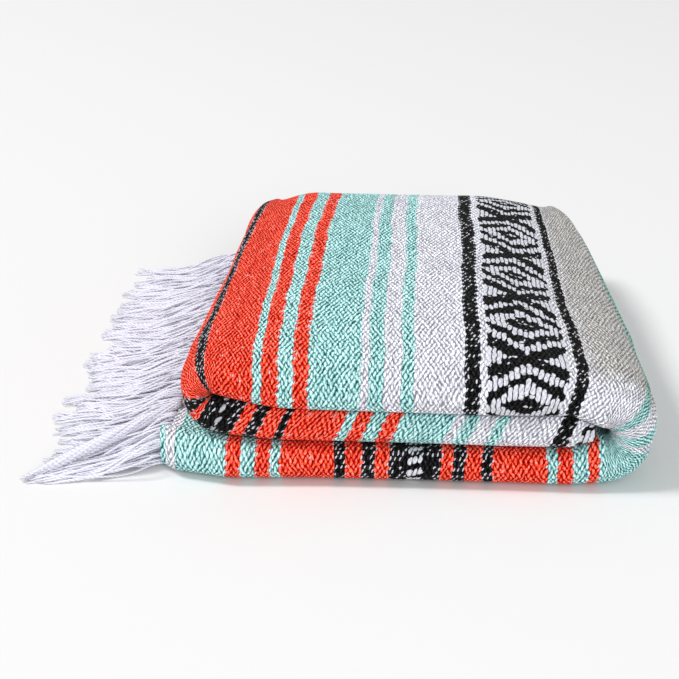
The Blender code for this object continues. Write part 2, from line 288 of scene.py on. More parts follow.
# %% Section of a band along the ribbon
SECTIONS = [
    # run    share   tip     tuck    nose    n     m    back_drop  back_roll
    (BOTTOM, 0.0,  0.0120, 0.0070, 0.018, 2.00, 2.00, 0.0000, 0.060),
    (BOTTOM, 1.0,  0.0120, 0.0070, 0.018, 2.00, 2.00, 0.0000, 0.060),
    (RIGHT,  0.5,  0.0130, 0.0090, 0.034, 2.00, 2.00, 0.0060, 0.070),
    (TOP,    0.0,  0.0120, 0.0080, 0.060, 2.10, 2.00, 0.0140, 0.100),
    (TOP,    0.35, 0.0080, 0.0065, 0.150, 3.30, 2.00, 0.0260, 0.140),
    (TOP,    0.78, 0.0080, 0.0065, 0.150, 3.30, 2.00, 0.0260, 0.140),
    (TOP,    1.0,  0.0090, 0.0060, 0.085, 2.60, 2.00, 0.0190, 0.120),
    (LEFT,   0.5,  0.0110, 0.0060, 0.030, 2.00, 2.00, 0.0060, 0.070),
    (MIDDLE, 0.0,  0.0120, 0.0070, 0.018, 2.00, 2.00, 0.0000, 0.060),
    (MIDDLE, 1.0,  0.0120, 0.0070, 0.018, 2.00, 2.00, 0.0000, 0.060),
]
SECTION_EASE = 0.016


def section_values(places):
    """Columns of SECTIONS at places along the ribbon, eased from row to row."""
    known = [place_on_turn(row[0], row[1]) for row in SECTIONS]
    reach = np.linspace(-SECTION_EASE, SECTION_EASE, 9)
    spread = np.asarray(places)[:, None] + reach[None, :]
    weight = 1 + np.cos(np.pi * reach / SECTION_EASE)
    values = []
    for column in range(2, 9):
        table = [row[column] for row in SECTIONS]
        values.append((np.interp(spread, known, table) * weight).sum(axis=1) / weight.sum())
    return values


def ribbon_faces(places):
    """Outer and inner points, in X and Z, at places along the ribbon."""
    along = RIBBON["along"]
    return [
        np.stack([np.interp(places, along, RIBBON[side][:, axis]) for axis in (0, 1)], axis=-1)
        for side in ("outer", "inner")
    ]


def outlines(places, crown_steps=60, nose_steps=48, tuck_steps=18):
    """The section line at each place, as arrays of y and of depth, with the tip's index."""
    tip, tuck, nose, n, m, back_drop, back_roll = (v[:, None] for v in section_values(places))
    outer, inner = ribbon_faces(places)
    thickness = np.linalg.norm(inner - outer, axis=-1)[:, None]
    tip = tip * np.minimum(1.0, thickness / (BAND - BAND_GAP))
    drop = thickness - tip
    front = -HALF_DEPTH

    share = np.linspace(0, 1, crown_steps)[None, :]
    crown_y = HALF_DEPTH + (front + nose - HALF_DEPTH) * share
    into_roll = np.maximum(0.0, (crown_y - (HALF_DEPTH - back_roll)) / back_roll)
    crown_depth = back_drop * into_roll ** BACK_POWER

    angle = np.linspace(0, math.pi / 2, nose_steps + 1)[None, 1:]
    nose_y = front + nose * (1 - np.sin(angle) ** (2 / n))
    nose_depth = drop * (1 - np.maximum(0.0, np.cos(angle)) ** (2 / m))

    angle = np.linspace(0, math.pi / 2, tuck_steps + 1)[None, 1:]
    tuck_y = front + tuck * (1 - np.cos(angle))
    tuck_depth = drop + tip * np.sin(angle)
    end_y = front + tuck + RETURN_DEPTH
    y = np.concatenate([crown_y, nose_y, tuck_y, end_y], axis=1)
    depth = np.concatenate([crown_depth, nose_depth, tuck_depth, thickness], axis=1)
    return y, depth, crown_steps + nose_steps - 1


# %% [markdown]
# ## How the folds settle
# A real stack is never as neat as its sections. The front corner at the left is pinched up
# into a crevice, the three fronts stand forward unevenly, both ends draw in towards the
# back, and the left end leans in. One function moves any point of the neat stack there.

# %% Settle the neat stack
PINCH_X = -0.150
PINCH_REACH = 0.075
PINCH_LIFT = 0.011
BACK_LIFT = 0.007
DRAWN_FROM_X = 0.080
RIGHT_DRAWN_IN = 0.029
LEFT_DRAWN_IN = 0.0195
LEFT_LEAN = 0.007
CORNER_DROP = 0.0045

FRONT_WAVE = [
    # x       bottom   middle   top
    (-0.160, -0.0090, -0.0030, -0.0100),
    (-0.148,  0.0010, -0.0025, -0.0080),
    (-0.115,  0.0080, -0.0010, -0.0040),
    (-0.060,  0.0050, -0.0005,  0.0000),
    ( 0.000,  0.0040, -0.0010,  0.0010),
    ( 0.060,  0.0035,  0.0000,  0.0015),
    ( 0.110,  0.0040, -0.0020,  0.0000),
    ( 0.160,  0.0020, -0.0010, -0.0020),
]


def settle(x, y, z):
    near_front = smooth(1 - (y + HALF_DEPTH) / 0.10)
    near_pinch = smooth(1 - np.abs(x - PINCH_X) / PINCH_REACH)
    crease = 2 * BAND
    below = smooth(z / crease)
    above = smooth((LEFT_HEIGHT - z) / (LEFT_HEIGHT - crease))
    towards_back = smooth((y + 0.04) / HALF_DEPTH)
    within = np.sin(math.pi * np.clip(z / CREST_HEIGHT, 0.0, 1.0))
    lift = PINCH_LIFT * near_front * near_pinch * np.minimum(below, above)
    lift = lift + BACK_LIFT * towards_back * within

    xs = [row[0] for row in FRONT_WAVE]
    bottom, middle, top = (np.interp(x, xs, [row[c] for row in FRONT_WAVE]) for c in (1, 2, 3))
    to_middle = np.clip((z - 0.5 * BAND) / BAND, 0, 1)
    to_top = np.clip((z - 1.5 * BAND) / BAND, 0, 1)
    wave = bottom + (middle - bottom) * to_middle + (top - middle) * to_top
    at_front = smooth(1 - (y + HALF_DEPTH) / 0.06)

    drawn = np.clip((y + HALF_DEPTH) / (2 * HALF_DEPTH), 0.0, 1.0) ** 1.3
    right_share = smooth((x - DRAWN_FROM_X) / (RIGHT_CENTRE_X + RIGHT_BULGE - DRAWN_FROM_X))
    left_share = smooth((-x - DRAWN_FROM_X) / (-HEM_X - DRAWN_FROM_X))
    shift = (LEFT_DRAWN_IN * left_share - RIGHT_DRAWN_IN * right_share) * drawn
    lean = LEFT_LEAN * left_share * smooth((z - BAND) / (LEFT_HEIGHT - BAND))
    corner = smooth((-x - 0.075) / 0.060) * smooth((y - 0.085) / 0.070) * smooth(z / CREST_HEIGHT)
    return np.stack([x + shift + lean, y - wave * at_front, z + lift - CORNER_DROP * corner], axis=-1)


# %% [markdown]
# ## Counting the weave
# The cloth is described by two distances: u along the warp, from the hem and round the
# whole spiral, and v along the weft, from the front edge of the fold towards the back. A
# weft yarn shows as a small lens wherever it passes over a warp, and neighbouring yarns
# show over alternate warps, so the lenses are staggered like bricks. The grid of each
# piece takes three steps to a brick along the warp and about five along the weft, so that
# every lens can be raised a little in the mesh itself.

# %% The lattice of the weave
PITCH = 0.0031
ROW = 0.0027
COLUMN_STEP = PITCH / 3
LINE_STEP = 0.0011
LENS_HALF_WIDTH = 0.00104
LENS_HALF_LENGTH = 0.0024
SLANT = 0.06
CROWN_LINES = 296
TUCK_LINES = 19
FRONT_LINES = 28
RELIEF = 0.00040


def lens_height(u, v):
    """Height of the weft lenses, from 0 in the gaps to 1 on their backs."""
    best = np.full(np.broadcast(u, v).shape, 9.0)
    for half in (0.0, 0.5):
        a, b = u / PITCH - half, v / (2 * ROW) - half
        across = (a - np.round(a)) * PITCH
        along = (b - np.round(b)) * 2 * ROW
        across = across + SLANT * along
        best = np.minimum(best, (across / LENS_HALF_WIDTH) ** 2 + (along / LENS_HALF_LENGTH) ** 2)
    return np.sqrt(np.clip(1 - best, 0, 1))


def column_of(place):
    """The column of the grid nearest a distance along the ribbon, on a whole brick."""
    return 3 * round(place / PITCH)


SEAMS = {
    "hem": 0,
    "right_low": column_of(place_at(BOTTOM, RIGHT_SEAM_X)),
    "right_high": column_of(place_at(TOP, RIGHT_SEAM_X)),
    "left_high": column_of(place_at(TOP, LEFT_SEAM_X)),
    "left_low": column_of(place_at(MIDDLE, LEFT_SEAM_X)),
    "eye": column_of(run_span(MIDDLE)[1]),
}
print("columns of the grid at the seams:", SEAMS)

# %% [markdown]
# ## Small wanderings of the stripes
# Woven stripes are straight only on the loom. Here they waver by a millimetre, lean where
# the middle band was pulled sideways, and gather towards the dark eye of the spiral at the
# right. These are shifts along the ribbon, so the yarns and the stripes move together.

# %% Wander of the yarns
WAVERS = [
    # size      waves per metre along v, along u   start
    (0.00065,  7.0,  3.0, 0.4),
    (0.00040, 19.0,  7.0, 2.1),
    (0.00030, 43.0, 16.0, 4.0),
]
MIDDLE_LEAN = 0.40
BACK_PULL = 0.0055
EYE_GATHER = 0.24
RIGHT_SPREAD = 0.0050
RIGHT_NARROWING = 0.0035


def wander(u, v):
    shift = 0.0
    for size, along_v, along_u, start in WAVERS:
        shift = shift + size * np.sin(2 * math.pi * (along_v * v + along_u * u) + start)
    on_middle = smooth((u - place_on_turn(LEFT, 0.75)) / 0.03)
    shift = shift - MIDDLE_LEAN * on_middle * np.clip(v, -0.020, 0.012)
    towards_left = smooth((u - place_at(TOP, 0.0)) / (place_at(TOP, -0.08) - place_at(TOP, 0.0)))
    towards_left = towards_left * smooth((place_on_turn(LEFT, 0.8) - u) / 0.05)
    shift = shift - BACK_PULL * towards_left * smooth((v - 0.10) / 0.20)
    towards_right = smooth((place_at(TOP, 0.055) - u) / 0.035)
    towards_right = towards_right * smooth((u - place_on_turn(RIGHT, 0.60)) / 0.03)
    spread = RIGHT_SPREAD * smooth((0.13 - v) / 0.10) - RIGHT_NARROWING * smooth((v - 0.13) / 0.12)
    shift = shift - towards_right * spread
    gather_from = place_at(TOP, 0.104)
    gather_to = place_at(TOP, 0.046)
    near_eye = smooth((gather_to - u) / (gather_to - gather_from))
    near_eye = near_eye * smooth((u - place_on_turn(RIGHT, 0.45)) / 0.03)
    below_crease = np.clip(0.021 - v, 0.0, 0.034)
    return shift + EYE_GATHER * near_eye * below_crease


# %% [markdown]
# ## Soft creases
# The pack of plies gives the cloth a few soft ridges and troughs: the ones the front shows,
# and similar ones on the sides that are out of sight. Each is a short line on the cloth
# with a width and a height, uneven in all three.

# %% Creases, listed
CREASES = [
    # run    x or share, v   to x or share, v   half_width  height
    (TOP,   0.080, 0.100,   0.020, 0.130,  0.020,  0.0012),
    (TOP,   0.020, 0.040,  -0.050, 0.055,  0.018, -0.0012),
    (TOP,  -0.040, 0.200,  -0.090, 0.170,  0.022,  0.0014),
    (TOP,   0.060, 0.240,   0.000, 0.225,  0.016, -0.0014),
    (TOP,  -0.075, 0.030,  -0.112, 0.022,  0.010,  0.0012),
    (RIGHT, 0.55, 0.012,    0.66, 0.045,   0.006, -0.0015),
    (RIGHT, 0.40, 0.010,    0.43, 0.040,   0.005, -0.0014),
    (RIGHT, 0.62, 0.120,    0.48, 0.200,   0.016,  0.0018),
    (RIGHT, 0.30, 0.070,    0.40, 0.150,   0.012, -0.0016),
    (RIGHT, 0.50, 0.230,    0.66, 0.280,   0.013, -0.0015),
    (LEFT,  0.35, 0.060,    0.50, 0.150,   0.012,  0.0016),
    (LEFT,  0.60, 0.170,    0.45, 0.240,   0.014, -0.0016),
    (LEFT,  0.25, 0.200,    0.30, 0.290,   0.012,  0.0012),
]


def crease_place(run, value):
    return place_on_turn(run, value) if run in (RIGHT, LEFT) else place_at(run, value)


def crease_height(u, v):
    height = np.zeros(np.broadcast(u, v).shape)
    for run, start, start_v, end, end_v, half_width, rise in CREASES:
        a = np.array([crease_place(run, start), start_v])
        b = np.array([crease_place(run, end), end_v])
        along = b - a
        share = ((u - a[0]) * along[0] + (v - a[1]) * along[1]) / (along @ along)
        share = np.clip(share, 0, 1)
        away = np.hypot(u - a[0] - share * along[0], v - a[1] - share * along[1])
        height = height + rise * np.exp(-(away / half_width) ** 2)
    return height


# %% [markdown]
# ## The cut of the stripes
# The stripes repeat between two kinds of centre: a plain black band with a row of white
# dashes, and a wide figured band. Everything between them is mirrored at each centre. A
# short table says where on the ribbon each stripe edge came to lie when the blanket was
# folded, because the cloth is pulled wider round the ends of the stack.

# %% Stripe edges and where they lie
STRIPES = [
    # width in mm from the black centre to the figured one, and yarn
    (15.7, "black"), (8.4, "red"), (8.3, "black"), (10.2, "red"), (6.5, "black"), (33.9, "red"),
    (6.8, "mint"), (9.8, "red"), (8.7, "mint"), (8.6, "red"), (32.7, "mint"), (5.6, "white"),
    (10.5, "mint"), (9.8, "white"), (7.4, "mint"), (32.7, "white"), (8.7, "black"), (4.9, "white"),
    (23.5, "figure"),
]
HALF_REPEAT = sum(width for width, yarn in STRIPES) / 1000


def nearest_brick(place):
    return PITCH * round(place / PITCH)


FIRST_BLACK = nearest_brick(place_at(BOTTOM, 0.0028))
FIGURED = nearest_brick(place_at(TOP, 0.0675))
SECOND_BLACK = nearest_brick(place_at(MIDDLE, -0.119))
LAYOUT = [
    # place on the ribbon                pattern distance from the first black centre
    (0.0,                               -0.1600),
    (place_at(BOTTOM, -0.1141),         -0.1169),
    (place_at(BOTTOM, -0.0789),         -0.0830),
    (place_at(BOTTOM, -0.0467),         -0.0491),
    (FIRST_BLACK - 0.016,               -0.016),
    (FIRST_BLACK + 0.016,                0.016),
    (place_at(BOTTOM, 0.0869),           0.0830),
    (place_at(BOTTOM, 0.0937),           0.0898),
    (place_at(BOTTOM, 0.1019),           0.0996),
    (place_at(BOTTOM, 0.1110),           0.1083),
    (place_at(BOTTOM, 0.1174),           0.1169),
    (place_on_turn(RIGHT, 0.37),         0.1496),
    (place_on_turn(RIGHT, 0.41),         0.1552),
    (place_on_turn(RIGHT, 0.51),         0.1657),
    (place_on_turn(RIGHT, 0.62),         0.1755),
    (place_on_turn(RIGHT, 0.72),         0.1829),
    (place_at(TOP, 0.1062),              0.2156),
    (FIGURED - 0.0266,                   HALF_REPEAT - 0.0235),
    (FIGURED + 0.0235,                   HALF_REPEAT + 0.0235),
    (place_at(TOP, -0.0635),             2 * HALF_REPEAT - 0.1169),
    (place_at(TOP, -0.0995),             2 * HALF_REPEAT - 0.0830),
    (place_on_turn(LEFT, 0.155),         2 * HALF_REPEAT - 0.0491),
    (place_on_turn(LEFT, 0.275),         2 * HALF_REPEAT - 0.0426),
    (place_on_turn(LEFT, 0.645),         2 * HALF_REPEAT - 0.0324),
    (place_on_turn(LEFT, 0.765),         2 * HALF_REPEAT - 0.0241),
    (place_on_turn(LEFT, 0.865),         2 * HALF_REPEAT - 0.0157),
    (SECOND_BLACK - 0.006,               2 * HALF_REPEAT - 0.006),
    (SECOND_BLACK + 0.006,               2 * HALF_REPEAT + 0.006),
    (place_at(MIDDLE, -0.1086),          2 * HALF_REPEAT + 0.0157),
    (place_at(MIDDLE, -0.0445),          2 * HALF_REPEAT + 0.0830),
    (place_at(MIDDLE, 0.0234),           2 * HALF_REPEAT + 0.1496),
    (place_at(MIDDLE, 0.0895),           2 * HALF_REPEAT + 0.2156),
    (place_at(MIDDLE, 0.1140),           2 * HALF_REPEAT + 0.2390),
]


def pattern_at(u):
    """Pattern distance, and how fast it runs, at distances along the ribbon."""
    places, distances = zip(*LAYOUT)
    slopes = np.diff(distances) / np.diff(places)
    stretch = np.clip(np.searchsorted(places, u, side="right") - 1, 0, len(slopes) - 1)
    return np.interp(u, places, distances), slopes[stretch]


print("half a repeat of the stripes:", round(HALF_REPEAT, 4), "m")

# %% [markdown]
# ## Laying the cloth
# A piece of cloth is a thin closed shell. Its outer face is a fine grid, about a
# millimetre to a step, its inner face a coarse one, and the four rims between them are
# bridged. Both grids start flat, as operators make them, and are then laid on the ribbon.

# %% Positions on the folded cloth
def lay_cloth(u, v):
    """Points of the outer face, and unit normals, for columns u and lines v."""
    u_grid, v_grid = np.meshgrid(u, v, indexing="ij")
    fine = np.linspace(u[0] - 0.03, u[-1] + 0.03, 160)
    y_lines, depth_lines, tip = outlines(np.clip(fine, 0, RIBBON["along"][-1]))
    arc = np.concatenate([
        np.zeros((len(fine), 1)),
        np.cumsum(np.hypot(np.diff(y_lines, axis=1), np.diff(depth_lines, axis=1)), axis=1),
    ], axis=1)
    from_tip = arc[:, tip][:, None] - arc
    crown = from_tip[:, :1] / (CROWN_LINES * LINE_STEP)
    tuck = -from_tip[:, -1:] / (TUCK_LINES * LINE_STEP)
    nominal = np.where(from_tip >= 0, from_tip / crown, from_tip / tuck)
    y_table = np.stack([np.interp(v, line[::-1], y[::-1]) for line, y in zip(nominal, y_lines)])
    d_table = np.stack([np.interp(v, line[::-1], d[::-1]) for line, d in zip(nominal, depth_lines)])

    places = np.clip(u_grid + wander(u_grid, v_grid), 0, RIBBON["along"][-1])
    row_index = np.clip((places - fine[0]) / (fine[1] - fine[0]), 0, len(fine) - 1.001)
    low = row_index.astype(int)
    part = row_index - low
    columns = np.arange(len(v))[None, :]
    y = y_table[low, columns] * (1 - part) + y_table[low + 1, columns] * part
    depth = d_table[low, columns] * (1 - part) + d_table[low + 1, columns] * part

    outer, inner = ribbon_faces(places)
    towards = inner - outer
    towards /= np.linalg.norm(towards, axis=-1, keepdims=True)
    flat = outer + towards * depth[..., None]
    points = settle(flat[..., 0], y, flat[..., 1])
    normals = np.cross(np.gradient(points, axis=0), np.gradient(points, axis=1))
    normals /= np.maximum(np.linalg.norm(normals, axis=-1, keepdims=True), 1e-12)
    return points, -normals, u_grid, v_grid


def flat_grid(mesh_data, columns, lines, level):
    """A flat grid whose corners sit at whole counts of columns and lines."""
    made = bmesh.ops.create_grid(
        mesh_data, x_segments=len(columns) - 1, y_segments=len(lines) - 1, size=0.5)
    for vert in made["verts"]:
        column = round((vert.co.x + 0.5) * (len(columns) - 1))
        line = round((vert.co.y + 0.5) * (len(lines) - 1))
        vert.co = (columns[column], lines[line], level)


def bridge_rims(mesh_data, last_column, last_line):
    """Close the shell between the two grids, one side at a time."""
    sides = [(0, 0), (0, last_column), (1, 0), (1, last_line)]
    for axis, value in sides:
        rim = [
            edge for edge in mesh_data.edges
            if edge.is_boundary and all(abs(vert.co[axis] - value) < 0.01 for vert in edge.verts)
            and edge.verts[0].co.z == edge.verts[1].co.z
        ]
        for edge in rim:
            edge.smooth = False
        bmesh.ops.bridge_loops(mesh_data, edges=rim)


# %% Build one stretch of cloth
CLOTHS = [
    # piece           solid           from          to            whole crown  rests on
    ("bottom_cloth",  "bottom_panel", "hem",        "right_low",  False,       ["floor"]),
    ("right_cloth",   "right_fold",   "right_low",  "right_high", True,        ["inner_layers"]),
    ("top_cloth",     "top_panel",    "right_high", "left_high",  True,        ["inner_layers"]),
    ("left_cloth",    "left_fold",    "left_high",  "left_low",   True,        ["inner_layers"]),
    ("middle_cloth",  "middle_panel", "left_low",   "eye",        False,       ["bottom_panel"]),
]
INNER_FRONT_LINES = 60
HIDDEN_LINES = 16
MEAN_LENS_HEIGHT = 0.35
RELIEF_REACH = 0.020
SMOOTH_BEYOND = 0.018


def thinned(count, step):
    """Every step-th whole number up to count, and count itself."""
    return sorted(set(range(0, count, step)) | {count})


def signed_volume(points, triangles):
    a, b, c = (points[triangles[:, i]] for i in range(3))
    return float((a * np.cross(b, c)).sum() / 6)


def build_cloth(name, first, last, whole_crown):
    """A closed thin shell of woven cloth between two columns of the ribbon."""
    columns = np.arange(first, last + 1)
    u = columns * COLUMN_STEP
    if whole_crown:
        lines = np.arange(-TUCK_LINES, CROWN_LINES + 1)
    else:
        lines = np.concatenate([
            np.arange(-TUCK_LINES, FRONT_LINES + 1),
            np.linspace(FRONT_LINES, CROWN_LINES, HIDDEN_LINES)[1:],
        ])
    v = lines * LINE_STEP
    points, normals, u_grid, v_grid = lay_cloth(u, v)
    raised = RELIEF * (lens_height(u_grid, v_grid) - MEAN_LENS_HEIGHT)
    if whole_crown:
        raised = raised + crease_height(u_grid, v_grid)
    else:
        raised = raised * smooth((RELIEF_REACH - v_grid) / 0.006)
        raised = np.where(v_grid > SMOOTH_BEYOND, np.minimum(raised, 0), raised)
    outer = points + normals * raised[..., None]
    inner = points - normals * CLOTH

    mesh_data = bmesh.new()
    count, line_count = len(columns) - 1, len(lines) - 1
    flat_grid(mesh_data, range(count + 1), range(line_count + 1), 1.0)
    near_front = thinned(min(INNER_FRONT_LINES, line_count), 4)
    behind = thinned(line_count, 12 if whole_crown else 2)[5:]
    inner_lines = sorted(set(near_front) | set(behind))
    flat_grid(mesh_data, thinned(count, 8), inner_lines, 0.0)
    bridge_rims(mesh_data, count, line_count)
    bmesh.ops.recalc_face_normals(mesh_data, faces=mesh_data.faces)
    mesh = mesh_of(name, mesh_data)

    flat = np.empty(len(mesh.vertices) * 3)
    mesh.vertices.foreach_get("co", flat)
    flat = flat.reshape(-1, 3)
    column, line = np.round(flat[:, 0]).astype(int), np.round(flat[:, 1]).astype(int)
    placed = np.where(flat[:, 2:] > 0.5, outer[column, line], inner[column, line])
    placed[:, 2] = np.maximum(placed[:, 2], 0.0)
    mesh.vertices.foreach_set("co", placed.ravel())
    mesh.update()
    mesh.calc_loop_triangles()
    triangles = np.empty(len(mesh.loop_triangles) * 3, np.int32)
    mesh.loop_triangles.foreach_get("vertices", triangles)
    if signed_volume(placed, triangles.reshape(-1, 3)) < 0:
        mesh.flip_normals()

    pattern, slope = pattern_at(u[column])
    add_map(mesh, "Weave", u[column], v[line])
    add_map(mesh, "Stripes", pattern, slope)
    print(name, "has", len(mesh.loop_triangles), "triangles")
    return add_object(name, mesh)


def corner_vertices(mesh):
    """The vertex at each corner of every face."""
    corners = np.empty(len(mesh.loops), np.int32)
    mesh.loops.foreach_get("vertex_index", corners)
    return corners


def add_map(mesh, name, first, second):
    """A UV map from two values for each vertex."""
    corners = corner_vertices(mesh)
    layer = mesh.uv_layers.new(name=name)
    values = np.stack([first[corners], second[corners]], axis=1).astype(np.float32)
    layer.data.foreach_set("uv", values.ravel())


CLOTH_PIECES = {
    name: build_cloth(name, SEAMS[first], SEAMS[last], whole_crown)
    for name, solid, first, last, whole_crown, rests_on in CLOTHS
}

# %% [markdown]
# ## Material of the weave
# One node group knows the brick pattern. It finds the lens that a point belongs to, reads
# the stripe colour at that lens's centre, so stripe edges get the toothed line of real
# weft, and paints light and shade on the lens: painted shade in the gaps, a painted highlight
# on its back, its own tone, and here and there a white speck where the warp peeps through.
# The mesh already has the lenses raised, so the bump only adds their fibres.

# %% Helpers for node trees
def new_node(tree, kind, inputs, **settings):
    node = tree.nodes.new("ShaderNode" + kind)
    for label, value in settings.items():
        setattr(node, label, value)
    feed(tree, node, inputs)
    return node


def calc(tree, operation, *values, clamp=False):
    """A Math node fed with sockets or numbers; gives its output."""
    node = new_node(tree, "Math", dict(enumerate(values)), operation=operation, use_clamp=clamp)
    return node.outputs[0]


def mix(tree, kind, factor, first, second, blend="MIX"):
    """A Mix node of floats or colours; gives its output."""
    first_input, second_input, output = {"FLOAT": (2, 3, 0), "RGBA": (6, 7, 2)}[kind]
    inputs = {0: factor, first_input: first, second_input: second}
    return new_node(tree, "Mix", inputs, data_type=kind, blend_type=blend).outputs[output]


def read_map(tree, label):
    return new_node(tree, "UVMap", {}, uv_map=label).outputs["UV"]


def add_bump(tree, height, strength, distance):
    inputs = {"Height": height, "Strength": strength, "Distance": distance}
    return new_node(tree, "Bump", inputs).outputs["Normal"]


def new_group(name, inputs, outputs):
    tree = bpy.data.node_groups.new(name, "ShaderNodeTree")
    for label, kind in inputs:
        tree.interface.new_socket(name=label, in_out="INPUT", socket_type=kind)
    for label, kind in outputs:
        tree.interface.new_socket(name=label, in_out="OUTPUT", socket_type=kind)
    return tree, tree.nodes.new("NodeGroupInput"), tree.nodes.new("NodeGroupOutput")


def colour(red, green, blue):
    """A linear colour from the 0 to 255 values a screen shows."""
    def linear(value):
        value /= 255
        return value / 12.92 if value <= 0.04045 else ((value + 0.055) / 1.055) ** 2.4
    return (linear(red), linear(green), linear(blue), 1.0)


YARNS = {
    "red": colour(240, 72, 48),
    "mint": colour(160, 209, 208),
    "white": colour(212, 213, 222),
    "black": colour(20, 20, 22),
    "figure": colour(20, 20, 22),
}

# %% The figures, charted by rule
# Both figures are white dashes, each a yarn floating over several warps, in columns one
# yarn pair apart. In the wide band they follow rings round a lozenge, which shift with
# every column away from the centre and turn back at the next crossing. In the plain
# black band three columns of short dashes lie side by side.
FIGURE_PITCH = 0.0031
FIGURE_ROW = 0.0035
FIGURE_HALF = 0.0230
FIGURE_ROWS = 10.0
FIGURE_DROP = 0.56
FIGURE_RINGS = [
    # middle and half width of each white ring, in rows from the lozenge's centre
    (0.0, 0.70), (3.5, 1.30), (7.5, 1.10), (12.9, 1.60),
]
DASH_HALF_WIDTH = 0.00145
DASH_END = 0.0021
PLAIN_HALF = 0.0046
PLAIN_DASH_ROWS = 2.0
PLAIN_DASH_HALF = 0.72
PLAIN_STEP = 0.15
PLAIN_DASH_SLANT = 0.0010
PLAIN_DASH_HALF_WIDTH = 0.0015
RING_JITTER = 1.1
SECOND_PLAIN_STRENGTH = 0.60
CELL_HALF_WIDTH = 0.0011
CELL_HALF_LENGTH = 0.0026
WOBBLE = 0.0019
WOBBLE_SCALE = 240.0
DRIFT_SCALE = 55.0
LEAN_DRIFT = 0.3
LEAN = 0.80
LENS_SHIFT = 0.0004
LENS_TONE = 0.16
FIBRE_SCALE = 850.0
FIBRE_TONE = 0.90
FADING_SCALE = 40.0
FADING_TONE = 0.10
BLACK_BELOW = 0.05
WHITE_ABOVE = 0.65
SCREEN_GAMMA = 2.2
# Painted shade in the gaps between lenses and a painted highlight on their backs, with the share of each
# that white and black yarns keep.
GAP_SHADE_DEPTH = 0.44
GAP_REACH = 1.5
LENS_HIGHLIGHT = 0.20
BLACK_HIGHLIGHT_SHARE = 0.3
WHITE_GAP_SHADE_SHARE = 0.66
SPECK_SLANT = 0.35
SPECK_HALF_WIDTH = 0.00058
SPECK_HALF_LENGTH = 0.00110
SPECK_STRENGTH = 0.95
EDGE_SPECKS = 0.45
BLACK_SPECKS = 0.38
OTHER_SPECKS = 0.012
FIGURE_SPECKS_LOST = 0.85
SPECK_EDGE = 3.0
DASH_EDGE = 2.6
DASH_FIBRE = 0.9
DASH_TONE = 0.66
# Painted shade in the gaps round each lens, on the white dashes.
DASH_GAP_SHADE = 0.24
DASH_HEIGHT = 1.3
FIBRE_HEIGHT = 0.6
LENS_ROUND = 1.2
# Painted shade: where the cloth slopes away from the key light above the eye, it is tinted warm grey.
SLOPE_SHADE_FROM = place_on_turn(RIGHT, 0.50)
SLOPE_SHADE_TO = place_at(TOP, 0.085)
SLOPE_SHADE_FADE = 0.035
SLOPE_SHADE_TINT = (0.66, 0.635, 0.56, 1.0)
DARKEST = 0.004


